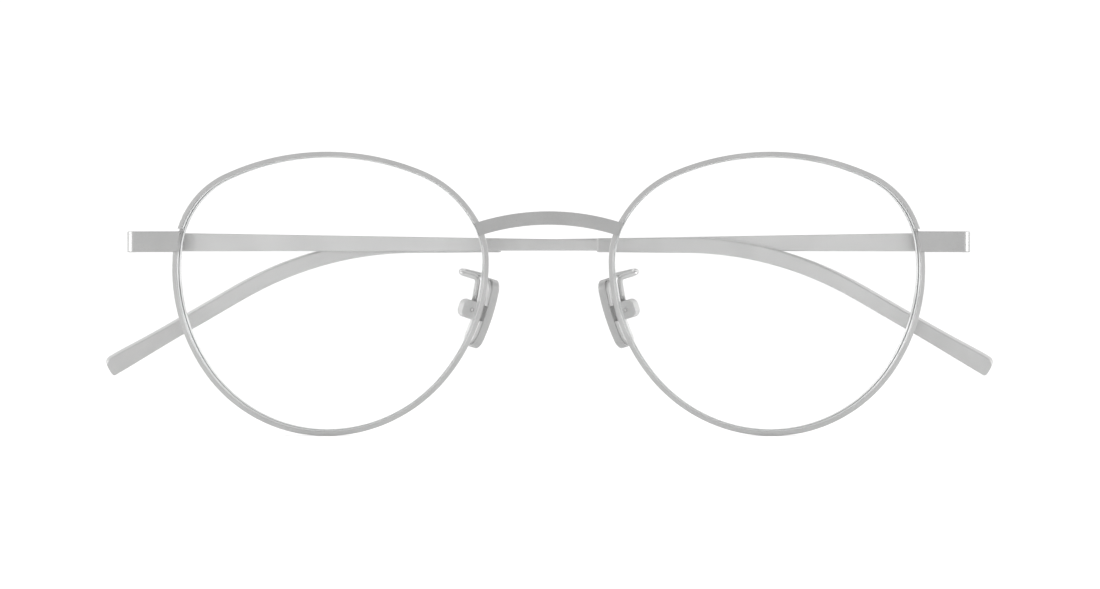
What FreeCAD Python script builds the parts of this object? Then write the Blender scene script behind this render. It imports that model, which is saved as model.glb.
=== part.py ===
"""Round wire spectacles with folding temples, in millimetres.

The front stands on the lowest points of its two rims at z = 0. +X is to the right of a person who
looks at the front, +Y leads from the front to the wearer's face and +Z is up. The wearer's left
side is at +X. It is built first, and the wearer's right side is its mirror image, apart from the
angles at which the two temples lie folded over each other.
"""

import FreeCAD, Part
import math
import os

import Sketcher
from FreeCAD import Placement, Rotation, Vector

DIMENSIONS = [
    # The eyewires and lenses. Each rim follows a sphere, the base curve of its lens.
    ("lens_spacing", 71.2, "distance between the middles of the two rims"),
    ("lens_middle_z", 23.018, "height of the middle of a rim above its lowest point"),
    ("vertex_y", -7.26, "front-most point of the lens sphere"),
    ("base_radius", 135.0, "radius of the lens sphere"),
    ("lean_across", 80.0, "seen from above, the eyewire's walls point at a spot this far behind"),
    ("lean_upright", 135.0, "the same, seen from the side"),
    ("wrap_angle", 5.0, "each lens is turned outwards by this angle"),
    ("tilt_angle", 2.5, "each lens leans forward at the top by this angle"),
    ("rim_width", 0.72, "eyewire seen from the front"),
    ("rim_depth", 2.1, "eyewire from front to back"),
    ("rim_round", 0.08, "rounding of the eyewire's edges"),
    ("groove_width", 0.5, "groove inside the eyewire, along the depth"),
    ("groove_depth", 0.2, "groove inside the eyewire, across the width"),
    ("lens_thickness", 1.5, "lens, from front to back"),
    ("lens_play", 0.04, "clearance between lens and eyewire"),
    ("split_gap", 0.12, "gap where the closing screw pulls the eyewire shut"),
    # The bridge, an arched flat bar.
    ("bridge_top_z", 36.45, "top of the arch at its middle"),
    ("bridge_radius", 38.5, "radius of the arch's upper edge"),
    ("bridge_height", 2.17, "height of the bar"),
    ("bridge_thickness", 1.1, "thickness of the bar"),
    ("bridge_back", 0.27, "back of the bar, in front of the lens vertex"),
    ("bridge_half", 13.5, "half length of the bar before its ends are trimmed to the rims"),
    ("bridge_trim", 2.0, "the bar is trimmed to the lens opening this far behind the vertex"),
    ("bridge_corner", 0.15, "rounding of the bar's four corners"),
    # The end pieces, flat strips bent back to the hinges.
    ("end_bottom_z", 29.87, "lower edge of the end piece"),
    ("end_height", 3.38, "height of the end piece"),
    ("end_thickness", 1.1, "thickness of the end piece"),
    ("end_slope", 14.0, "the strip runs outwards and back at this angle"),
    ("end_start_x", 61.15, "a point on the strip's front face, at the rim"),
    ("end_start_back", 3.502, "the same point, behind the lens vertex"),
    ("end_outer_x", 68.7, "outer side of the end piece and of the open temple"),
    ("end_bend", 1.45, "outside radius of the bend"),
    ("end_notch", 0.42, "notch in the rim above the strip"),
    # The hinges, with three knuckles each.
    ("hinge_back", 11.5, "hinge axis behind the lens vertex"),
    ("hinge_offset", 0.95, "from the hinge axis to the inner side of the temple"),
    ("hinge_bottom_z", 30.02, "lower edge of the hinge and of the temple"),
    ("hinge_height", 2.9, "height of the hinge"),
    ("temple_height", 3.12, "height of the temple beside the hinge"),
    ("knuckle_radius", 0.9, "radius of the knuckles"),
    ("knuckle_middle", 0.98, "height of the middle knuckle"),
    ("knuckle_gap", 0.03, "gap between two knuckles"),
    ("hinge_pin", 0.45, "radius of the hinge screw's shank"),
    ("running_play", 0.03, "radial clearance of a turning joint"),
    ("leaf_thickness", 0.5, "thickness of the hinge leaves"),
    ("leaf_length", 3.9, "length of the hinge leaves"),
    ("butt_gap", 0.03, "gap between the end piece and the open temple"),
    # The temples.
    ("temple_thickness", 1.1, "thickness of the metal strip"),
    ("temple_length", 74.5, "metal strip from the hinge axis to the tip"),
    ("temple_end_height", 1.75, "height of the strip where the tip starts"),
    ("temple_end_lift", 0.15, "lower edge of the strip there, above its lower edge at the hinge"),
    ("temple_round", 0.14, "rounding of the strip's edges"),
    ("tang_length", 12.0, "tang of the strip inside the tip"),
    ("tang_height", 1.1, "height of the tang"),
    ("tang_thickness", 0.7, "thickness of the tang"),
    ("fold_offset", 0.7, "the temples lie this far off parallel, so that they cross"),
    # The tips.
    ("tip_height", 2.33, "height of the tip at its front end"),
    ("tip_thickness", 1.5, "thickness of the tip"),
    ("tip_end_height", 2.95, "height of the tip at its far end"),
    ("tip_straight", 14.3, "length of the tip before the ear bend"),
    ("ear_radius", 57.0, "radius of the ear bend"),
    ("ear_angle", 30.0, "angle of the ear bend"),
    ("ear_length", 25.0, "length of the tip after the ear bend"),
    ("ear_twist", 16.0, "turn of the tip about its own length"),
    ("tip_end_top", 1.1, "rounding of the upper corner of the tip's far end"),
    ("tip_end_bottom", 0.5, "rounding of the lower corner of the tip's far end"),
    # The nose pads, their boxes and arms.
    ("pad_x", 9.9, "middle of the pad's face from the middle of the spectacles"),
    ("pad_back", 5.2, "middle of the pad's face behind the lens vertex"),
    ("pad_z", 19.65, "height of the middle of the pad's face"),
    ("pad_splay", 20.0, "angle by which the pads part towards the wearer"),
    ("pad_lean", 17.5, "angle by which the pads part towards their lower ends"),
    ("pad_bow", 35.0, "radius of the pad's face along its length"),
    ("pad_width", 5.2, "width of the pad"),
    ("pad_length", 11.6, "length of the pad"),
    ("pad_thickness", 1.3, "thickness of the pad"),
    ("pad_round", 0.3, "rounding of the pad's edges beside the nose"),
    ("pad_back_round", 0.12, "rounding of the pad's edges beside the plate"),
    ("plate_width", 4.7, "width of the plate on the pad's back"),
    ("plate_length", 10.8, "length of the plate on the pad's back"),
    ("plate_thickness", 0.5, "thickness of the plate on the pad's back"),
    ("plate_round", 0.2, "rounding of the plate's edges"),
    ("plate_waist", 2.6, "length of the notch in each side of the plate"),
    ("lug_width", 1.1, "thickness of the lug between the box's cheeks"),
    ("lug_radius", 0.85, "radius of the lug's rounded end"),
    ("box_start", 2.15, "near end of the box, behind the pad's face"),
    ("box_end", 4.95, "far end of the box, behind the pad's face"),
    ("box_width", 2.3, "width of the box across both cheeks"),
    ("box_height", 3.0, "height of the box"),
    ("box_corner", 1.1, "rounding of the box's far corners"),
    ("box_slot", 1.24, "width of the slot between the cheeks"),
    ("box_roof", 0.42, "thickness of the box over the slot"),
    ("pivot_depth", 3.3, "axis of the pad screw, behind the pad's face"),
    ("pad_pin", 0.35, "radius of the pad screw's shank"),
    ("arm_radius", 0.44, "radius of the pad arm's wire"),
    # The closing blocks on the rims.
    ("block_height", 1.6, "height of each closing block"),
    ("block_length", 3.0, "length of each closing block"),
    ("block_depth", 2.3, "depth of each closing block"),
    ("closing_pin", 0.5, "radius of the closing screw's shank"),
    ("closing_head", 0.6, "radius of the closing screw's head"),
]

# The eyewire's centre line, as tangent arcs: the heading where each arc starts, 0 towards the
# temple and 90 up, and its radius. The last two radii follow, because the outline closes.
OUTLINE = [
    (7, 14.2),
    (66, 41.9),
    (112, 18.6),
    (149, 13.0),
    (181, 30.1),
    (222, 25.8),
    (275, None),
    (325, None),
]

# The pad arm's centre line: distance from the middle, behind the lens vertex, and height, with the
# radius of the bend at each inner point. It leaves the back of the rim and ends in the pad box.
ARM_ROUTE = [
    (10.4, 0.9, 25.9, 0.0),
    (10.5, 4.3, 26.0, 0.75),
    (14.2, 4.35, 26.88, 0.8),
    (14.2, 2.7, 26.5, 0.8),
    (11.46, 2.75, 25.7, 0.85),
    (12.16, 4.506, 21.694, 0.0),
]

doc = FreeCAD.newDocument("spectacles")
sheet = doc.addObject("Spreadsheet::Sheet", "dims")
for row, (alias, value, meaning) in enumerate(DIMENSIONS, start=1):
    sheet.set(f"A{row}", meaning)
    sheet.set(f"B{row}", str(value))
    sheet.setAlias(f"B{row}", alias)
doc.recompute()

SIZE = {alias: float(getattr(sheet, alias)) for alias, _, _ in DIMENSIONS}
WORLD_X = Vector(1, 0, 0)
WORLD_Y = Vector(0, 1, 0)
WORLD_Z = Vector(0, 0, 1)
nodes = {}


# ---------------------------------------------------------------- helpers


def bind(thing, **formulas):
    """Ties properties to formulas of the sheet's cells. A double underscore stands for a dot."""
    for path, formula in formulas.items():
        thing.setExpression(path.replace("__", "."), formula)
    return thing


def place(thing, x="0", y="0", z="0"):
    return bind(thing, Placement__Base__x=x, Placement__Base__y=y, Placement__Base__z=z)


def box(name, length, width, height, x="0", y="0", z="0"):
    block = doc.addObject("Part::Box", name)
    bind(block, Length=length, Width=width, Height=height)
    return place(block, x, y, z)


def cylinder(name, radius, height, x="0", y="0", z="0", axis=WORLD_Z):
    rod = doc.addObject("Part::Cylinder", name)
    rod.Placement.Rotation = Rotation(WORLD_Z, axis)
    bind(rod, Radius=radius, Height=height)
    return place(rod, x, y, z)


def fuse(name, *shapes):
    joined = doc.addObject("Part::MultiFuse", name)
    joined.Shapes = list(shapes)
    joined.Refine = True
    return joined


def common(name, *shapes):
    shared = doc.addObject("Part::MultiCommon", name)
    shared.Shapes = list(shapes)
    return shared


def cut(name, base, *tools):
    """The base less each tool."""
    for number, tool in enumerate(tools):
        less = doc.addObject("Part::Cut", f"{name}_{number}")
        less.Base = base
        less.Tool = tool
        base = less
    return base


def feature(name, shape, placement=None):
    made = doc.addObject("Part::Feature", name)
    made.Shape = shape
    if placement is not None:
        made.Placement = placement
    return made


def keep(name, thing):
    """Names a finished sub-part, which is then written to a file of that name."""
    thing.Label = name
    nodes[name] = thing
    return thing


def mirrored(thing):
    """The same thing on the wearer's other side."""
    image = doc.addObject("Part::Mirroring", thing.Name + "_mirror")
    image.Source = thing
    image.Normal = WORLD_X
    return image


def keep_pair(name, thing):
    keep(name + "_left", thing)
    keep(name + "_right", mirrored(thing))


def round_edges(name, base, radius, chosen):
    """A fillet on the edges that chosen(edge) picks."""
    doc.recompute()
    soft = doc.addObject("Part::Fillet", name)
    soft.Base = base
    soft.Edges = [
        (number, radius, radius)
        for number, edge in enumerate(base.Shape.Edges, start=1)
        if chosen(edge)
    ]
    return soft


def origin_plane(body, role):
    return next(plane for plane in body.Origin.OriginFeatures if plane.Role == role)


def polygon(body, name, role, corners, shift="0"):
    """A sketch of straight lines on one of the body's own planes. Each corner is two formulas."""
    sketch = body.newObject("Sketcher::SketchObject", name)
    sketch.AttachmentSupport = [(origin_plane(body, role), "")]
    sketch.MapMode = "FlatFace"
    bind(sketch, AttachmentOffset__Base__z=shift)
    count = len(corners)
    start = [
        Vector(10 * math.cos(2 * math.pi * i / count), 10 * math.sin(2 * math.pi * i / count), 0)
        for i in range(count)
    ]
    for i in range(count):
        sketch.addGeometry(Part.LineSegment(start[i], start[(i + 1) % count]), False)
    for i in range(count):
        sketch.addConstraint(Sketcher.Constraint("Coincident", i, 2, (i + 1) % count, 1))
    for i, (across, up) in enumerate(corners):
        for kind, value, formula in (("X", start[i].x, across), ("Y", start[i].y, up)):
            if formula == "0":
                axis = -2 if kind == "X" else -1
                sketch.addConstraint(Sketcher.Constraint("PointOnObject", i, 1, axis))
                continue
            index = sketch.addConstraint(
                Sketcher.Constraint(f"Distance{kind}", -1, 1, i, 1, value)
            )
            sketch.renameConstraint(index, f"corner_{i}_{kind.lower()}")
            sketch.setExpression(f"Constraints.corner_{i}_{kind.lower()}", formula)
    return sketch


def pad(body, name, sketch, length, reverse=False):
    made = body.newObject("PartDesign::Pad", name)
    made.Profile = sketch
    made.Reversed = reverse
    bind(made, Length=length)
    return made


def pocket(body, name, sketch, length, reverse=False):
    made = body.newObject("PartDesign::Pocket", name)
    made.Profile = sketch
    made.Reversed = reverse
    bind(made, Length=length)
    return made


def fillet(body, name, base, radius, chosen):
    doc.recompute()
    made = body.newObject("PartDesign::Fillet", name)
    picked = [
        f"Edge{number}"
        for number, edge in enumerate(base.Shape.Edges, start=1)
        if chosen(edge)
    ]
    made.Base = (base, picked)
    bind(made, Radius=radius)
    return made


def revolve(body, name, profile):
    """A turned piece: corners (radius, height) turned about the body's Z axis."""
    sketch = polygon(body, name + "_profile", "XZ_Plane", profile)
    turned = body.newObject("PartDesign::Revolution", name)
    turned.Profile = sketch
    turned.ReferenceAxis = (sketch, ["V_Axis"])
    turned.Angle = 360
    return turned


def new_body(name, placement=None):
    body = doc.addObject("PartDesign::Body", name)
    if placement is not None:
        body.Placement = placement
    return body


# ---------------------------------------------------------------- eyewires and lenses


def closed_outline():
    """The eyewire's arcs as (start heading, end heading, radius, centre), about its own middle."""
    starts = [math.radians(heading) for heading, _ in OUTLINE]
    ends = starts[1:] + [starts[0] + 2 * math.pi]
    steps = [
        (math.sin(a) - math.sin(b), math.cos(b) - math.cos(a)) for a, b in zip(starts, ends)
    ]
    radii = [radius for _, radius in OUTLINE]
    known = [(r, step) for r, step in zip(radii, steps) if r is not None]
    (p, q), (r, t) = [step for radius, step in zip(radii, steps) if radius is None]
    rest_x = -sum(radius * step[0] for radius, step in known)
    rest_y = -sum(radius * step[1] for radius, step in known)
    scale = p * t - q * r
    radii[-2] = (rest_x * t - rest_y * r) / scale
    radii[-1] = (rest_y * p - rest_x * q) / scale
    point = Vector(0, 0, 0)
    arcs = []
    for a, b, radius in zip(starts, ends, radii):
        centre = point - Vector(math.cos(a), math.sin(a), 0) * radius
        arcs.append((a, b, radius, centre))
        point = centre + Vector(math.cos(b), math.sin(b), 0) * radius
    return arcs


ARCS = closed_outline()


def outline_at(heading, offset=0.0):
    """The point of the outline whose outward normal has this heading, in radians."""
    heading = (heading - ARCS[0][0]) % (2 * math.pi) + ARCS[0][0]
    for a, b, radius, centre in ARCS:
        if heading <= b:
            break
    normal = Vector(math.cos(heading), math.sin(heading), 0)
    return centre + normal * (radius + offset) - MIDDLE


MIDDLE = Vector(0, 0, 0)
MIDDLE = Vector(
    (outline_at(0).x + outline_at(math.pi).x) / 2,
    (outline_at(math.pi / 2).y + outline_at(-math.pi / 2).y) / 2,
    0,
)

LENS_FRAME = Placement(
    Vector(SIZE["lens_spacing"] / 2, SIZE["vertex_y"], SIZE["lens_middle_z"]),
    Rotation(WORLD_X, 90)
    * Rotation(WORLD_Y, SIZE["wrap_angle"])
    * Rotation(WORLD_X, SIZE["tilt_angle"]),
)
SPHERE_CENTRE = Vector(0, 0, -SIZE["base_radius"])


def outline_loop(offset, level):
    """The outline offset outwards, and spread by the lean of its walls, at this level above it."""
    edges = []
    for a, b, radius, centre in ARCS:
        through = [
            centre + Vector(math.cos(heading), math.sin(heading), 0) * (radius + offset) - MIDDLE
            for heading in (a, (a + b) / 2, b)
        ]
        edges.append(Part.Arc(*through).toShape())
    spread = FreeCAD.Matrix()
    spread.scale(1 + level / SIZE["lean_across"], 1 + level / SIZE["lean_upright"], 1)
    spread.move(0, 0, level)
    return Part.Wire(edges).transformGeometry(spread)


def cone(offset, reach=6.0):
    """A solid with its leaning walls through the outline offset."""
    return Part.makeLoft([outline_loop(offset, -reach), outline_loop(offset, reach)], True, True)


def shell(thickness):
    """The space between two spheres about the lens sphere's centre."""
    radius = SIZE["base_radius"]
    outer = Part.makeSphere(radius + thickness / 2, SPHERE_CENTRE, WORLD_Y)
    inner = Part.makeSphere(radius - thickness / 2, SPHERE_CENTRE, WORLD_Y)
    return outer.cut(inner)


HALF_WIDTH = SIZE["rim_width"] / 2
GROOVE_FLOOR = SIZE["groove_depth"] - HALF_WIDTH


def eyewire_ring():
    """The closed eyewire, with its rounded edges and the groove along its inner side."""
    ring = cone(HALF_WIDTH).common(shell(SIZE["rim_depth"])).cut(cone(-HALF_WIDTH))
    around = [edge for edge in ring.Edges if edge.Length > SIZE["rim_depth"] + 0.5]
    soft = ring.makeFillet(SIZE["rim_round"], around)
    return soft.cut(cone(GROOVE_FLOOR).common(shell(SIZE["groove_width"])))


def lens_solid():
    """The lens, with the flat bevel that sits in the eyewire's groove."""
    play = SIZE["lens_play"]
    disc = cone(-HALF_WIDTH - play).common(shell(SIZE["lens_thickness"]))
    bevel = cone(GROOVE_FLOOR - play).common(shell(SIZE["groove_width"] - 2 * play))
    return disc.fuse(bevel)


eyewire = feature("eyewire", eyewire_ring(), LENS_FRAME)
aperture = feature("aperture", cone(-HALF_WIDTH), LENS_FRAME)
eyewire_inside = feature("eyewire_inside", cone(HALF_WIDTH), LENS_FRAME)
lens_blank = feature("lens_blank", lens_solid(), LENS_FRAME)

# ---------------------------------------------------------------- bridge

ARCH_CENTRE_Z = "dims.bridge_top_z - dims.bridge_radius"
BRIDGE_BACK_Y = "dims.vertex_y - dims.bridge_back"


def arch(name, thickness):
    """The arched bar, with its back on the rims and this thickness in front of it."""
    outer = cylinder(
        name + "_outer", "dims.bridge_radius", thickness, y=BRIDGE_BACK_Y, z=ARCH_CENTRE_Z,
        axis=-WORLD_Y,
    )
    inner = cylinder(
        name + "_inner", "dims.bridge_radius - dims.bridge_height", thickness,
        y=BRIDGE_BACK_Y, z=ARCH_CENTRE_Z, axis=-WORLD_Y,
    )
    middle = box(
        name + "_middle", "2 * dims.bridge_half", "10", "dims.bridge_radius",
        "-dims.bridge_half", BRIDGE_BACK_Y + " - 9", "0",
    )
    return common(name, cut(name + "_ring", outer, inner), middle)


def opening(level):
    """A straight prism through the lens opening as it is at one level."""
    loop = outline_loop(-HALF_WIDTH, level)
    loop.translate(Vector(0, 0, -2))
    return Part.Face(loop).extrude(Vector(0, 0, 12))


lens_opening = feature("lens_opening", opening(-SIZE["bridge_trim"]), LENS_FRAME)
trimmed = cut(
    "bridge_trimmed", arch("bridge_bar", "dims.bridge_thickness"), lens_opening,
    mirrored(lens_opening),
)


def bridge_corner(edge):
    """True for the bar's corner edges, which run from front to back beside a rim."""
    ends = [vertex.Point for vertex in edge.Vertexes]
    if len(ends) != 2:
        return False
    across = (ends[0] - ends[1])
    return abs(across.y) > 0.9 * SIZE["bridge_thickness"] and abs(ends[0].x) > 9


bridge_cornered = round_edges("bridge_cornered", trimmed, SIZE["bridge_corner"], bridge_corner)
keep("bridge", bridge_cornered)

# ---------------------------------------------------------------- end pieces

SLOPE = "tan(dims.end_slope * 1 deg)"
END_FACE_Y = "(dims.vertex_y + dims.end_start_back)"
END_WALL = "(dims.end_thickness / cos(dims.end_slope * 1 deg))"
HINGE_Y = "(dims.vertex_y + dims.hinge_back)"
HINGE_X = "(dims.end_outer_x - dims.end_thickness - dims.hinge_offset)"


def end_face_at(x, behind="0"):
    """A formula for y on the strip's front face at x, or behind it."""
    return f"{END_FACE_Y} + ({x} - dims.end_start_x) * {SLOPE} + {behind}"


INNER_END_X = "(dims.end_start_x - 4)"
INNER_SIDE_X = "(dims.end_outer_x - dims.end_thickness)"


def end_piece():
    body = new_body("end_piece_body")
    place(body, z="dims.end_bottom_z")
    corners = [
        (INNER_END_X, end_face_at(INNER_END_X)),
        ("dims.end_outer_x", end_face_at("dims.end_outer_x")),
        ("dims.end_outer_x", f"{HINGE_Y} - dims.butt_gap"),
        (INNER_SIDE_X, f"{HINGE_Y} - dims.butt_gap"),
        (INNER_SIDE_X, end_face_at(INNER_SIDE_X, END_WALL)),
        (INNER_END_X, end_face_at(INNER_END_X, END_WALL)),
    ]
    sketch = polygon(body, "end_piece_plan", "XY_Plane", corners)
    blank = pad(body, "end_piece_blank", sketch, "dims.end_height")
    doc.recompute()

    def upright_at(x, y):
        def chosen(edge):
            middle = edge.CenterOfMass
            straight_up = abs(edge.BoundBox.ZLength - edge.Length) < 1e-6
            return straight_up and math.hypot(middle.x - x, middle.y - y) < 0.2

        return chosen

    outer_x = SIZE["end_outer_x"]
    inner_x = outer_x - SIZE["end_thickness"]
    slope = math.tan(math.radians(SIZE["end_slope"]))
    face_y = SIZE["vertex_y"] + SIZE["end_start_back"]
    wall = SIZE["end_thickness"] / math.cos(math.radians(SIZE["end_slope"]))
    outer_y = face_y + (outer_x - SIZE["end_start_x"]) * slope
    inner_y = face_y + (inner_x - SIZE["end_start_x"]) * slope + wall
    bend = fillet(body, "end_piece_bend", blank, "dims.end_bend", upright_at(outer_x, outer_y))
    crease = fillet(
        body, "end_piece_crease", bend, "dims.end_bend - dims.end_thickness",
        upright_at(inner_x, inner_y),
    )
    soft = fillet(
        body, "end_piece_soft", crease, "dims.temple_round",
        lambda edge: edge.BoundBox.ZLength < 1e-6 and edge.CenterOfMass.x > SIZE["end_start_x"] - 3.9,
    )
    body.Tip = soft
    return body


end_body = end_piece()
keep_pair("end_piece", cut("end_piece_trimmed", end_body, aperture))

# The eyewire gives way to the bridge and to the end piece, which are let into its front.
bridge_seat = arch("bridge_seat", "3")
end_seat_body = new_body("end_seat_body")
place(end_seat_body, z="dims.end_bottom_z")
end_seat_sketch = polygon(
    end_seat_body,
    "end_seat_plan",
    "XY_Plane",
    [
        (INNER_END_X, end_face_at(INNER_END_X, "-3")),
        ("dims.end_outer_x", end_face_at("dims.end_outer_x", "-3")),
        ("dims.end_outer_x", end_face_at("dims.end_outer_x", END_WALL)),
        (INNER_END_X, end_face_at(INNER_END_X, END_WALL)),
    ],
)
pad(end_seat_body, "end_seat", end_seat_sketch, "dims.end_height + dims.end_notch")
SPLIT_Z = "(dims.end_bottom_z + dims.end_height / 2)"
split = box("rim_split", "10", "12", "dims.split_gap", "dims.end_start_x - 5", "dims.vertex_y - 2",
            f"{SPLIT_Z} - dims.split_gap / 2")
rim = cut("rim_cut", eyewire, bridge_seat, end_seat_body, split)
keep_pair("rim", rim)
keep_pair("lens", cut("lens_cut", lens_blank, bridge_seat, end_seat_body))

# ---------------------------------------------------------------- closing blocks

BLOCK_X = "(dims.end_start_x - 0.7)"
BLOCK_Y = "(" + end_face_at("dims.end_start_x", END_WALL) + " - 0.2)"
CLOSING_X = f"({BLOCK_X} + dims.block_length * 0.6)"
CLOSING_Y = f"({BLOCK_Y} + dims.block_depth * 0.62)"
HEAD_SINK = "0.45"


def closing_block(name, bottom, bore, head=False):
    block = box(name + "_box", "dims.block_length", "dims.block_depth", "dims.block_height",
                BLOCK_X, BLOCK_Y, bottom)
    tools = [
        eyewire_inside,
        end_body,
        cylinder(name + "_bore", bore, "4", CLOSING_X, CLOSING_Y, f"{bottom} - 1"),
    ]
    if head:
        sink = cylinder(
            name + "_sink", "dims.closing_head + 0.05", "2", CLOSING_X, CLOSING_Y,
            f"{bottom} + dims.block_height - {HEAD_SINK}",
        )
        tools.append(sink)
    return cut(name, block, *tools)


LOWER_BLOCK_Z = f"({SPLIT_Z} - dims.split_gap / 2 - dims.block_height)"
UPPER_BLOCK_Z = f"({SPLIT_Z} + dims.split_gap / 2)"
keep_pair("closing_block_lower", closing_block("block_lower", LOWER_BLOCK_Z, "dims.closing_pin"))
keep_pair(
    "closing_block_upper",
    closing_block("block_upper", UPPER_BLOCK_Z, "dims.closing_pin + dims.running_play", head=True),
)


def screw(name, shank, length, head, head_height, slot_width):
    """A slotted screw, its tip at the body's origin and its head up."""
    body = new_body(name)
    turned = revolve(
        body,
        name + "_turned",
        [
            ("0", "0"),
            (f"{shank} - 0.08", "0"),
            (shank, "0.08"),
            (shank, length),
            (head, length),
            (head, f"{length} + {head_height} - 0.06"),
            (f"{head} - 0.06", f"{length} + {head_height}"),
            ("0", f"{length} + {head_height}"),
        ],
    )
    slot_plan = polygon(
        body,
        name + "_slot_plan",
        "XY_Plane",
        [
            (f"-2 * {head}", f"-{slot_width} / 2"),
            (f"2 * {head}", f"-{slot_width} / 2"),
            (f"2 * {head}", f"{slot_width} / 2"),
            (f"-2 * {head}", f"{slot_width} / 2"),
        ],
        shift=f"{length} + {head_height} / 2",
    )
    doc.recompute()
    before = turned.Shape.Volume
    slot = pocket(body, name + "_slot", slot_plan, "1", reverse=True)
    doc.recompute()
    if not slot.Shape.Volume < before - 1e-6:
        raise ValueError(f"{name}: the slot cuts nothing")
    return body


closing_length = f"(2 * dims.block_height + dims.split_gap - {HEAD_SINK})"
closing = screw("closing_screw_body", "dims.closing_pin", closing_length, "dims.closing_head",
                "0.35", "0.22")
place(closing, CLOSING_X, CLOSING_Y, LOWER_BLOCK_Z)
keep_pair("closing_screw", closing)

# ---------------------------------------------------------------- hinges

KNUCKLE_END = "((dims.hinge_height - dims.knuckle_middle - 2 * dims.knuckle_gap) / 2)"
MIDDLE_Z = f"(dims.hinge_bottom_z + {KNUCKLE_END} + dims.knuckle_gap)"
UPPER_Z = f"({MIDDLE_Z} + dims.knuckle_middle + dims.knuckle_gap)"
LEAF_START = "(dims.knuckle_radius + 0.12)"


def front_hinge():
    """The leaf on the end piece, with its two outer knuckles."""
    leaf = box(
        "front_leaf", "dims.leaf_thickness", "dims.leaf_length", "dims.hinge_height",
        f"{INNER_SIDE_X} - dims.leaf_thickness", f"{HINGE_Y} - dims.leaf_length - {LEAF_START}",
        "dims.hinge_bottom_z",
    )
    pieces = [leaf]
    for level, bottom in (("low", "dims.hinge_bottom_z"), ("high", UPPER_Z)):
        pieces.append(
            cylinder(f"front_knuckle_{level}", "dims.knuckle_radius", KNUCKLE_END, HINGE_X,
                     HINGE_Y, bottom)
        )
        pieces.append(
            box(f"front_web_{level}", "dims.hinge_offset", f"{LEAF_START} + 0.3", KNUCKLE_END,
                HINGE_X, f"{HINGE_Y} - {LEAF_START} - 0.3", bottom)
        )
    solid = fuse("front_hinge_solid", *pieces)
    bore = cylinder("front_bore", "dims.hinge_pin", "6", HINGE_X, HINGE_Y,
                    "dims.hinge_bottom_z - 1")
    return cut("front_hinge", solid, bore)


keep_pair("hinge_front", front_hinge())
hinge_screw = screw("hinge_screw_body", "dims.hinge_pin", "dims.hinge_height", "0.8", "0.3", "0.2")
place(hinge_screw, HINGE_X, HINGE_Y, "dims.hinge_bottom_z")
keep_pair("hinge_screw", hinge_screw)


def folded(side, turn):
    """The place of a folded temple, whose own origin is on the hinge axis."""
    hinge = Vector(
        SIZE["end_outer_x"] - SIZE["end_thickness"] - SIZE["hinge_offset"],
        SIZE["vertex_y"] + SIZE["hinge_back"],
        SIZE["hinge_bottom_z"],
    )
    return Placement(hinge, Rotation(WORLD_Z, turn * SIZE["fold_offset"]))


def rear_hinge(side, turn):
    """The leaf on the temple, with the middle knuckle. It lies folded along -X."""
    middle = f"({KNUCKLE_END} + dims.knuckle_gap)"
    leaf = box(
        f"rear_leaf_{side}", "dims.leaf_length", "dims.leaf_thickness", "dims.hinge_height",
        f"-{LEAF_START} - dims.leaf_length", "dims.hinge_offset - dims.leaf_thickness", "0",
    )
    web = box(
        f"rear_web_{side}", f"{LEAF_START} + 0.3", "dims.hinge_offset", "dims.knuckle_middle",
        f"-{LEAF_START} - 0.3", "0", middle,
    )
    knuckle = cylinder(f"rear_knuckle_{side}", "dims.knuckle_radius", "dims.knuckle_middle",
                       z=middle)
    bore = cylinder(f"rear_bore_{side}", "dims.hinge_pin + dims.running_play", "6", z="-1")
    solid = cut(f"rear_hinge_{side}", fuse(f"rear_solid_{side}", leaf, web, knuckle), bore)
    doc.recompute()
    solid.Placement = folded(side, turn)
    return solid


# ---------------------------------------------------------------- temples


def temple(side, turn):
    """The metal strip: its inner side faces the lenses while it is folded."""
    body = new_body(f"temple_body_{side}", folded(side, turn))
    profile = polygon(
        body, f"temple_profile_{side}", "XZ_Plane",
        [
            ("-dims.butt_gap", "0"),
            ("-dims.butt_gap", "dims.temple_height"),
            ("-dims.temple_length", "dims.temple_end_lift + dims.temple_end_height"),
            ("-dims.temple_length", "dims.temple_end_lift"),
        ],
        shift="-(dims.hinge_offset + dims.temple_thickness)",
    )
    strip = pad(body, f"temple_strip_{side}", profile, "dims.temple_thickness")
    soft = fillet(body, f"temple_soft_{side}", strip, "dims.temple_round",
                  lambda edge: edge.Length > 10)
    doc.recompute()
    before = soft.Shape.Volume
    middle_y = "(dims.hinge_offset + dims.temple_thickness / 2)"
    middle_z = "(dims.temple_end_lift + dims.temple_end_height / 2)"
    tang_plan = polygon(
        body, f"tang_plan_{side}", "YZ_Plane",
        [
            (f"{middle_y} + {across} * dims.tang_thickness / 2",
             f"{middle_z} + {up} * dims.tang_height / 2")
            for across, up in ((-1, -1), (1, -1), (1, 1), (-1, 1))
        ],
        shift="-dims.temple_length",
    )
    pad(body, f"tang_{side}", tang_plan, "dims.tang_length", reverse=True)
    doc.recompute()
    if not body.Shape.Volume > before + 1:
        raise ValueError("the temple has no tang")
    return body


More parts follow.
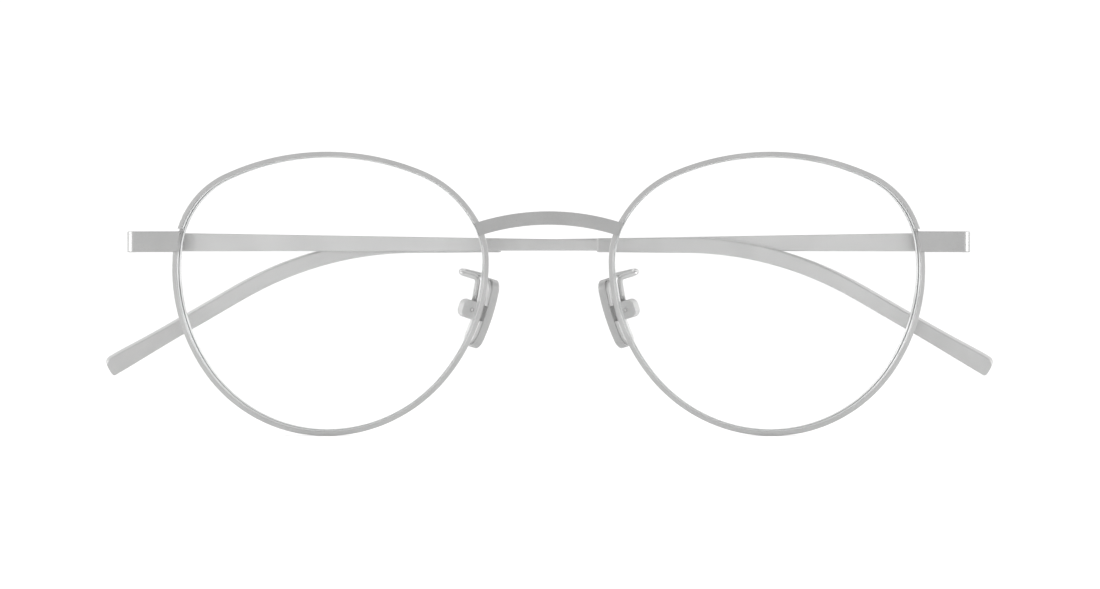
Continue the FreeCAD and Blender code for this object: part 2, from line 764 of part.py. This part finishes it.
def tip_section(distance, height, thickness, twist, top_loss=0.0, bottom_loss=0.0):
    """A rounded section of the tip, at this distance along its centre line."""
    straight = SIZE["tip_straight"]
    radius = SIZE["ear_radius"]
    bend = math.radians(SIZE["ear_angle"])
    angle = min(max((distance - straight) / radius, 0), bend)
    run = min(distance, straight) + radius * math.sin(angle)
    drop = radius * (1 - math.cos(angle))
    rest = max(distance - straight - radius * bend, 0)
    run += rest * math.cos(bend)
    drop += rest * math.sin(bend)
    start = Vector(
        -SIZE["temple_length"],
        SIZE["hinge_offset"] + SIZE["temple_thickness"] / 2,
        SIZE["temple_end_lift"] + SIZE["temple_end_height"] / 2,
    )
    centre = start + Vector(-run, 0, -drop)
    # The section's own axes: through the tip's thickness, and up.
    turn = Rotation(WORLD_Y, -math.degrees(angle)) * Rotation(WORLD_X, twist)
    soft = 0.28
    a = thickness / 2
    reach = {1: height / 2 - top_loss, -1: height / 2 - bottom_loss}
    points = []
    for number, (across, up) in enumerate(((1, 1), (-1, 1), (-1, -1), (1, -1))):
        for step in (0, 45, 90):
            heading = math.radians(number * 90 + step)
            points.append(
                Vector(
                    0,
                    across * (a - soft) + soft * math.cos(heading),
                    up * (reach[up] - soft) + soft * math.sin(heading),
                )
            )
    placed = [centre + turn.multVec(point) for point in points]
    edges = []
    for i in range(0, 12, 3):
        edges.append(Part.Arc(*placed[i:i + 3]).toShape())
        edges.append(Part.LineSegment(placed[i + 2], placed[(i + 3) % 12]).toShape())
    return Part.Wire(edges)


def ease(share):
    """Goes smoothly from 0 to 1."""
    share = min(max(share, 0), 1)
    return share * share * (3 - 2 * share)


def corner_loss(radius, distance):
    """How much a rounded corner takes off, at this distance from the end."""
    inside = max(radius - distance, 0)
    return radius - math.sqrt(radius * radius - inside * inside)


def tip_solid():
    """The sleeve over the tang that becomes the ear piece: it bends, twists and widens."""
    bend = SIZE["ear_radius"] * math.radians(SIZE["ear_angle"])
    length = SIZE["tip_straight"] + bend + SIZE["ear_length"]
    end = max(SIZE["tip_end_top"], SIZE["tip_end_bottom"])

    def section(distance, shrink=0.0):
        growth = SIZE["tip_height"] + 0.2 * ease(distance / SIZE["tip_straight"])
        flare = SIZE["tip_end_height"] - SIZE["tip_height"] - 0.2
        growth += flare * ease((distance - length + 13) / 13)
        thickness = SIZE["tip_thickness"] + 0.3 * ease(distance / length)
        twist = SIZE["ear_twist"] * ease((distance - SIZE["tip_straight"]) / (bend + 8))
        left = length - distance
        return tip_section(
            distance, growth - shrink, thickness - shrink, twist,
            corner_loss(SIZE["tip_end_top"], left), corner_loss(SIZE["tip_end_bottom"], left),
        )

    start = [section(0.0, 0.24), section(0.3)]
    middle = [section(0.3)] + [section((length - end) * share / 14) for share in range(1, 15)]
    close = [section(length - end * share) for share in (1.0, 0.75, 0.52, 0.33, 0.18, 0.08)]
    close.append(section(length, 0.2))
    pieces = [
        Part.makeLoft(start, True, True),
        Part.makeLoft(middle, True, False),
        Part.makeLoft(close, True, True),
    ]
    return pieces[0].fuse(pieces[1:])


def tip(side, turn):
    blank = feature(f"tip_blank_{side}", tip_solid())
    play = "0.02"
    bore = box(
        f"tip_bore_{side}", "dims.tang_length + 1.3", f"dims.tang_thickness + 2 * {play}",
        f"dims.tang_height + 2 * {play}", "-dims.temple_length - dims.tang_length - 0.3",
        f"dims.hinge_offset + dims.temple_thickness / 2 - dims.tang_thickness / 2 - {play}",
        f"dims.temple_end_lift + dims.temple_end_height / 2 - dims.tang_height / 2 - {play}",
    )
    made = cut(f"tip_{side}", blank, bore)
    doc.recompute()
    made.Placement = folded(side, turn)
    return made


def keep_temple(side, turn):
    pieces = {
        "hinge_rear": rear_hinge(side, turn),
        "temple": temple(side, turn),
        "temple_tip": tip(side, turn),
    }
    for name, thing in pieces.items():
        keep(f"{name}_{side}", thing if side == "left" else mirrored(thing))


# The wearer's right temple is folded first and lies in front, so the left one crosses behind it.
keep_temple("left", -1)
keep_temple("right", 1)

# ---------------------------------------------------------------- nose pads

# In the pad's own frame X leads from its face to the box, Y to the wearer and Z up its length.
PAD_FRAME = Placement(
    Vector(SIZE["pad_x"], SIZE["vertex_y"] + SIZE["pad_back"], SIZE["pad_z"]),
    Rotation(WORLD_Y, -SIZE["pad_lean"]) * Rotation(WORLD_Z, -SIZE["pad_splay"]),
)


def rounded_plate(name, width, length, near, thickness):
    """A plate bowed along Z: its near side is this far behind the pad's face."""
    body = new_body(name + "_body")
    sketch = polygon(
        body, name + "_plan", "YZ_Plane",
        [
            (f"{across} * {width} / 2", f"{up} * {length} / 2")
            for across, up in ((-1, -1), (1, -1), (1, 1), (-1, 1))
        ],
        shift="-1",
    )
    blank = pad(body, name + "_blank", sketch, "6")
    corner = f"0.32 * {width}"
    rounded = fillet(body, name + "_corners", blank, corner,
                     lambda edge: abs(edge.BoundBox.XLength - edge.Length) < 1e-6)
    body.Tip = rounded
    outer = cylinder(name + "_outer", f"dims.pad_bow - {near}", "20", "dims.pad_bow", "10", "0",
                     axis=-WORLD_Y)
    inner = cylinder(name + "_inner", f"dims.pad_bow - {near} - {thickness}", "20",
                     "dims.pad_bow", "10", "0", axis=-WORLD_Y)
    bowed = common(name + "_bowed", body, cut(name + "_shell", outer, inner))
    return bowed


def set_in_pad_frame(thing):
    doc.recompute()
    thing.Placement = PAD_FRAME
    return thing


def depth_of(edge):
    """How far an edge of a bowed plate lies behind the pad's face."""
    point = edge.valueAt((edge.FirstParameter + edge.LastParameter) / 2)
    return SIZE["pad_bow"] - math.hypot(SIZE["pad_bow"] - point.x, point.z)


bare_pad = rounded_plate("nose_pad_plate", "dims.pad_width", "dims.pad_length", "0",
                         "dims.pad_thickness")
soft_face = round_edges("nose_pad_soft_face", bare_pad, SIZE["pad_round"],
                        lambda edge: depth_of(edge) < 0.05)
soft_pad = round_edges("nose_pad_soft", soft_face, SIZE["pad_back_round"],
                       lambda edge: depth_of(edge) > SIZE["pad_thickness"] - 0.05)
keep_pair("nose_pad", set_in_pad_frame(soft_pad))

bare_plate = rounded_plate("pad_plate", "dims.plate_width", "dims.plate_length",
                           "dims.pad_thickness", "dims.plate_thickness")
plate = round_edges(
    "pad_plate_soft", bare_plate, SIZE["plate_round"],
    lambda edge: depth_of(edge) > SIZE["pad_thickness"] + SIZE["plate_thickness"] - 0.05,
)
notches = [
    box(f"plate_notch_{name}", "4", "2", "dims.plate_waist", "0",
        f"{sign} * (dims.lug_width / 2 + 0.6) - {back}", "-dims.plate_waist / 2")
    for name, sign, back in (("front", -1, 2), ("back", 1, 0))
]
waisted = cut("plate_waisted", plate, *notches)
PLATE_BACK = "(dims.pad_thickness + dims.plate_thickness)"
lug = fuse(
    "pad_lug",
    box("lug_neck", f"dims.pivot_depth - {PLATE_BACK} + 0.2", "dims.lug_width",
        "2 * dims.lug_radius", f"{PLATE_BACK} - 0.2", "-dims.lug_width / 2", "-dims.lug_radius"),
    cylinder("lug_eye", "dims.lug_radius", "dims.lug_width", "dims.pivot_depth",
             "dims.lug_width / 2", "0", axis=-WORLD_Y),
)
pad_bore = cylinder("pad_bore", "dims.pad_pin + dims.running_play", "6", "dims.pivot_depth", "3",
                    "0", axis=-WORLD_Y)
backing = cut("pad_backing_cut", fuse("pad_backing_solid", waisted, lug), pad_bore)
keep_pair("pad_backing", set_in_pad_frame(backing))


def pad_box():
    """The box: a small block with a slot for the pad's lug between two cheeks."""
    body = new_body("pad_box_body")
    sketch = polygon(
        body, "pad_box_plan", "XZ_Plane",
        [
            ("dims.box_start", "-dims.box_height / 2"),
            ("dims.box_end", "-dims.box_height / 2"),
            ("dims.box_end", "dims.box_height / 2"),
            ("dims.box_start", "dims.box_height / 2"),
        ],
        shift="-dims.box_width / 2",
    )
    blank = pad(body, "pad_box_blank", sketch, "dims.box_width")
    corners = fillet(
        body, "pad_box_corners", blank, "dims.box_corner",
        lambda edge: abs(edge.BoundBox.YLength - edge.Length) < 1e-6
        and edge.CenterOfMass.x > SIZE["box_end"] - 0.1,
    )
    edges = fillet(
        body, "pad_box_edges", corners, "0.18",
        lambda edge: edge.BoundBox.YLength < 1e-6 and edge.CenterOfMass.x > SIZE["box_start"] + 0.1,
    )
    body.Tip = edges
    slot = box(
        "pad_box_slot", "dims.pivot_depth - dims.box_start + dims.lug_radius + 1.2",
        "dims.box_slot", "2 * dims.box_height", "dims.box_start - 1", "-dims.box_slot / 2",
        "-1.5 * dims.box_height - dims.box_roof",
    )
    bore = cylinder("pad_box_bore", "dims.pad_pin", "6", "dims.pivot_depth", "3", "0",
                    axis=-WORLD_Y)
    return cut("pad_box_cut", body, slot, bore)


keep_pair("pad_box", set_in_pad_frame(pad_box()))

pad_screw = screw("pad_screw_body", "dims.pad_pin", "dims.box_width", "0.62", "0.3", "0.18")
doc.recompute()
pad_screw.Placement = PAD_FRAME * Placement(
    Vector(SIZE["pivot_depth"], -SIZE["box_width"] / 2, 0), Rotation(WORLD_Z, WORLD_Y)
)
keep_pair("pad_screw", pad_screw)


def pad_arm_line():
    """The arm's centre line: straight runs joined by tangent arcs."""
    points = [Vector(x, SIZE["vertex_y"] + y, z) for x, y, z, _ in ARM_ROUTE]
    edges = []
    last = points[0]
    for before, corner, after, (_, _, _, radius) in zip(
        points, points[1:], points[2:], ARM_ROUTE[1:]
    ):
        back = (before - corner).normalize()
        ahead = (after - corner).normalize()
        half = back.getAngle(ahead) / 2
        reach = radius / math.tan(half)
        start = corner + back * reach
        end = corner + ahead * reach
        inward = (back + ahead).normalize()
        middle = corner + inward * (radius / math.sin(half) - radius)
        edges.append(Part.LineSegment(last, start).toShape())
        edges.append(Part.Arc(start, middle, end).toShape())
        last = end
    edges.append(Part.LineSegment(last, points[-1]).toShape())
    return Part.Wire(edges)


arm_line = feature("pad_arm_line", pad_arm_line())
arm_section = doc.addObject("Part::Circle", "pad_arm_section")
first_run = Vector(*ARM_ROUTE[1][:3]) - Vector(*ARM_ROUTE[0][:3])
arm_section.Placement = Placement(
    arm_line.Shape.Vertexes[0].Point, Rotation(WORLD_Z, first_run)
)
bind(arm_section, Radius="dims.arm_radius")
arm = doc.addObject("Part::Sweep", "pad_arm_sweep")
arm.Sections = [arm_section]
arm.Spine = (arm_line, [f"Edge{i}" for i in range(1, len(arm_line.Shape.Edges) + 1)])
arm.Solid = True
arm.Frenet = False
doc.recompute()
box_solid = nodes["pad_box_left"]
keep_pair("pad_arm", cut("pad_arm_trimmed", arm, rim, box_solid))

# ---------------------------------------------------------------- files

doc.recompute()
faults = [thing.Name for thing in doc.Objects if {"Invalid", "Error"} & set(thing.State)]
if faults:
    raise ValueError(f"these objects failed: {faults}")
os.makedirs("parts", exist_ok=True)
for name, thing in nodes.items():
    shape = thing.Shape
    if shape.isNull() or not shape.isValid() or not shape.Solids:
        raise ValueError(f"{name} is not a valid solid")
    print(f"{name}: {len(shape.Solids)} solid, {shape.Volume:.3f} mm3, {shape.BoundBox}")
    shape.exportStep(f"parts/{name}.step")
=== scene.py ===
"""Round wire spectacles on a pale floor, in metres, in the row's frame."""

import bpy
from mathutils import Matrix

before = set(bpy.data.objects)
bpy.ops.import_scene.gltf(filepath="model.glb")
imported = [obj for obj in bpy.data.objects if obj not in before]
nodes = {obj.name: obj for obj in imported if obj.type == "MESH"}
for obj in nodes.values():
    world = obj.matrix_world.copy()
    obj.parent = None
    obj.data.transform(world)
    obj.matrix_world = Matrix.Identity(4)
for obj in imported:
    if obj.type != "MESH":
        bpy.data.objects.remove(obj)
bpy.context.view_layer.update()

import math

import bpy
from mathutils import Vector

scene = bpy.context.scene

# ---------------------------------------------------------------- materials


def graph(name):
    """A new material with its node tree, its Principled shader and a maker of linked nodes."""
    material = bpy.data.materials.new(name)
    material.use_nodes = True
    tree = material.node_tree
    shader = tree.nodes["Principled BSDF"]

    def add(kind, settings=None, **inputs):
        node = tree.nodes.new(kind)
        for key, value in (settings or {}).items():
            setattr(node, key, value)
        for key, value in inputs.items():
            socket = node.inputs[key.replace("_", " ")]
            if isinstance(value, bpy.types.NodeSocket):
                tree.links.new(value, socket)
            else:
                socket.default_value = value
        return node

    def link(output, socket):
        tree.links.new(output, shader.inputs[socket])

    return material, shader, add, link


def ramp(add, factor, stops):
    """A colour ramp of (position, colour) stops."""
    node = add("ShaderNodeValToRGB", Fac=factor)
    elements = node.color_ramp.elements
    while len(elements) < len(stops):
        elements.new(0.5)
    for element, (position, colour) in zip(elements, stops):
        element.position = position
        element.color = (*colour, 1)
    return node.outputs["Color"]


def grey(value):
    return (value, value, value * 0.995)


def satin_metal(name, tone, rough=0.3, grain=0.000012, metallic=1.0):
    """Fine blasted metal: a faint cloudiness, tiny pits and a slightly uneven sheen."""
    material, shader, add, link = graph(name)
    place = add("ShaderNodeTexCoord").outputs["Object"]
    cloud = add("ShaderNodeTexNoise", Vector=place, Scale=160.0, Detail=4.0, Roughness=0.55)
    pits = add("ShaderNodeTexNoise", Vector=place, Scale=9000.0, Detail=3.0, Roughness=0.6)
    link(ramp(add, cloud.outputs["Fac"], [(0.3, grey(tone * 0.95)), (0.7, grey(tone * 1.04))]),
         "Base Color")
    sheen = add("ShaderNodeMapRange", Value=pits.outputs["Fac"], From_Min=0.25, From_Max=0.75,
                To_Min=rough - 0.05, To_Max=rough + 0.07)
    link(sheen.outputs["Result"], "Roughness")
    bump = add("ShaderNodeBump", Height=pits.outputs["Fac"], Strength=0.35, Distance=grain)
    link(bump.outputs["Normal"], "Normal")
    shader.inputs["Metallic"].default_value = metallic
    return material


def clear_lens():
    """Clear, with faint polishing marks in its gloss and a frosted, ground edge; the edge's
    near-white is also painted fill light on the rim's shaded groove.
    """
    material, shader, add, link = graph("clear_lens_look")
    place = add("ShaderNodeTexCoord").outputs["Object"]
    smear = add("ShaderNodeTexNoise", Vector=place, Scale=60.0, Detail=3.0)
    gloss = add("ShaderNodeMapRange", Value=smear.outputs["Fac"], To_Min=0.01, To_Max=0.06)
    link(gloss.outputs["Result"], "Roughness")
    link(ramp(add, smear.outputs["Fac"], [(0.3, (0.93, 0.95, 0.95)), (0.7, (0.97, 0.98, 0.98))]),
         "Base Color")
    # The lens edge, whose faces don't face front or back, turns half opaque and near-white: a
    # frosted ground edge, and painted fill light that lightens the dark groove around it.
    facing = add("ShaderNodeSeparateXYZ", Vector=add("ShaderNodeNewGeometry").outputs["True Normal"])
    upright = add("ShaderNodeMath", {"operation": "ABSOLUTE"}, Value=facing.outputs["Y"])
    clear = add("ShaderNodeMapRange", Value=upright.outputs["Value"], From_Min=0.55, From_Max=0.65,
                To_Min=0.55, To_Max=0.03)
    link(clear.outputs["Result"], "Alpha")
    shader.inputs["IOR"].default_value = 1.5
    return material


# Tone is the metal's share of reflected light, then comes its roughness. These parts are one satin
# silver metal. Their different tones are painted shade where a part is darker (bridge, end pieces,
# nose pads) and painted highlight where it is lighter (temples, pad arms, pad backing). The lowered
# metallic on the rims, pad boxes, pad backing and nose pads is painted fill light that lightens
# their shaded hollows.
looks = {
    "rim": satin_metal("eyewire_metal", 0.445, 0.3, metallic=0.8),
    "bridge": satin_metal("bridge_metal", 0.385, 0.3),
    "end_piece": satin_metal("end_piece_metal", 0.41, 0.3),
    "closing_block": satin_metal("block_metal", 0.46, 0.32),
    "hinge": satin_metal("hinge_metal", 0.46, 0.28),
    "screw": satin_metal("screw_metal", 0.46, 0.2),
    "temple": satin_metal("temple_metal", 0.52, 0.32),
    "tip": satin_metal("tip_coating", 0.48, 0.36, metallic=0.9),
    "pad_arm": satin_metal("arm_metal", 0.5, 0.28),
    "pad_box": satin_metal("box_metal", 0.48, 0.4, metallic=0.4),
    "backing": satin_metal("backing_metal", 0.56, 0.4, metallic=0.4),
    "nose_pad": satin_metal("pad_metal", 0.41, 0.4, metallic=0.5),
    "lens": clear_lens(),
}


# The look of each node by the start of its name, longer starts first.
LOOK_BY_START = (
    ("rim", "rim"), ("bridge", "bridge"), ("end_piece", "end_piece"),
    ("closing_block", "closing_block"), ("closing_screw", "screw"), ("hinge_screw", "screw"),
    ("hinge", "hinge"), ("temple_tip", "tip"), ("temple", "temple"), ("pad_arm", "pad_arm"),
    ("pad_box", "pad_box"), ("pad_screw", "screw"), ("pad_backing", "backing"),
    ("nose_pad", "nose_pad"), ("lens", "lens"),
)


def look_of(node):
    for start, look in LOOK_BY_START:
        if node.startswith(start):
            return looks[look]
    raise ValueError(node)


for name, thing in nodes.items():
    for material_slot in thing.material_slots:
        material_slot.material = look_of(name)

# ---------------------------------------------------------------- floor and light

FLOOR_SIZE = 8
FLOOR_MIDDLE = (0, 2.5, 0)
MIDDLE = Vector((0, 0, 0.023))
BOX_SIZE = (0.5, 0.5)
BOX_POWER = 3

# Light levels of the surroundings by the direction's share along Y and along Z. The level of a
# direction is the product of the two.
BEHIND = [
    (-1, 1.03), (0.1, 1.03), (0.4, 2.0), (0.7, 2.0), (0.82, 0.85), (0.975, 0.85), (0.993, 1.05),
    (1, 1.05),
]
OVERHEAD = [(-1, 1.0), (0.55, 1.02), (0.85, 0.7), (1, 0.7)]
TOP_LEVEL = 4  # a curve node holds values up to one, so its levels are divided by this


def floor():
    bpy.ops.mesh.primitive_plane_add(size=FLOOR_SIZE, location=FLOOR_MIDDLE)
    plane = bpy.context.object
    plane.name = "floor"
    material, shader, add, link = graph("pale_floor")
    place = add("ShaderNodeTexCoord").outputs["Object"]
    cloud = add("ShaderNodeTexNoise", Vector=place, Scale=3.0, Detail=2.0)
    link(ramp(add, cloud.outputs["Fac"], [(0.3, (0.98, 0.98, 0.98)), (0.7, (1, 1, 1))]),
         "Base Color")
    shader.inputs["Roughness"].default_value = 0.8
    plane.data.materials.append(material)


def soft_box(name, place):
    """An area light that looks at the middle of the spectacles."""
    data = bpy.data.lights.new(name, "AREA")
    data.shape = "RECTANGLE"
    data.size, data.size_y = BOX_SIZE
    data.energy = BOX_POWER
    lamp = bpy.data.objects.new(name, data)
    scene.collection.objects.link(lamp)
    lamp.location = place
    aim = MIDDLE - Vector(place)
    lamp.rotation_mode = "QUATERNION"
    lamp.rotation_quaternion = aim.to_track_quat("-Z", "Y")


def sky():
    """White light from all round, stronger from behind at each side and weaker from overhead."""
    world = bpy.data.worlds.new("studio")
    world.use_nodes = True
    tree = world.node_tree
    place = tree.nodes.new("ShaderNodeTexCoord")
    split = tree.nodes.new("ShaderNodeSeparateXYZ")
    tree.links.new(place.outputs["Generated"], split.inputs[0])

    def levels(axis, stops):
        """A light level by the direction's share along one axis, from -1 to 1."""
        share = tree.nodes.new("ShaderNodeMapRange")
        share.inputs["From Min"].default_value = -1
        tree.links.new(split.outputs[axis], share.inputs["Value"])
        node = tree.nodes.new("ShaderNodeFloatCurve")
        tree.links.new(share.outputs["Result"], node.inputs["Value"])
        curve = node.mapping.curves[0]
        while len(curve.points) < len(stops):
            curve.points.new(0.5, 0.5)
        for point, (along, level) in zip(curve.points, stops):
            point.location = ((along + 1) / 2, level / TOP_LEVEL)
            point.handle_type = "VECTOR"
        node.mapping.update()
        return node.outputs["Value"]

    behind = levels("Y", BEHIND)
    overhead = levels("Z", OVERHEAD)
    level = tree.nodes.new("ShaderNodeMath")
    level.operation = "MULTIPLY"
    tree.links.new(behind, level.inputs[0])
    tree.links.new(overhead, level.inputs[1])
    scaled = tree.nodes.new("ShaderNodeMath")
    scaled.operation = "MULTIPLY"
    scaled.inputs[1].default_value = TOP_LEVEL ** 2
    tree.links.new(level.outputs["Value"], scaled.inputs[0])
    back = tree.nodes["Background"]
    back.inputs["Color"].default_value = (1, 1, 1, 1)
    tree.links.new(scaled.outputs["Value"], back.inputs["Strength"])
    scene.world = world


floor()
sky()
for name, x in (("left_box", -0.9), ("right_box", 0.9)):
    soft_box(name, (x, -0.15, 0.15))
scene.view_settings.view_transform = "Standard"

# ---------------------------------------------------------------- camera

DISTANCE = 1.2
FRONT_Y = -0.00725  # the plane in which the view is VIEW_WIDTH wide
VIEW_WIDTH = 0.1784
EYE_X = 0.000206
EYE_Z = 0.02297
SENSOR = 36

camera = bpy.data.cameras.new("camera")
camera.sensor_width = SENSOR
camera.lens = SENSOR * DISTANCE / VIEW_WIDTH
camera.clip_start = 0.01
camera.clip_end = 50
eye = bpy.data.objects.new("camera", camera)
scene.collection.objects.link(eye)
eye.location = (EYE_X, FRONT_Y - DISTANCE, EYE_Z)
eye.rotation_euler = (math.radians(90), 0, 0)
scene.camera = eye
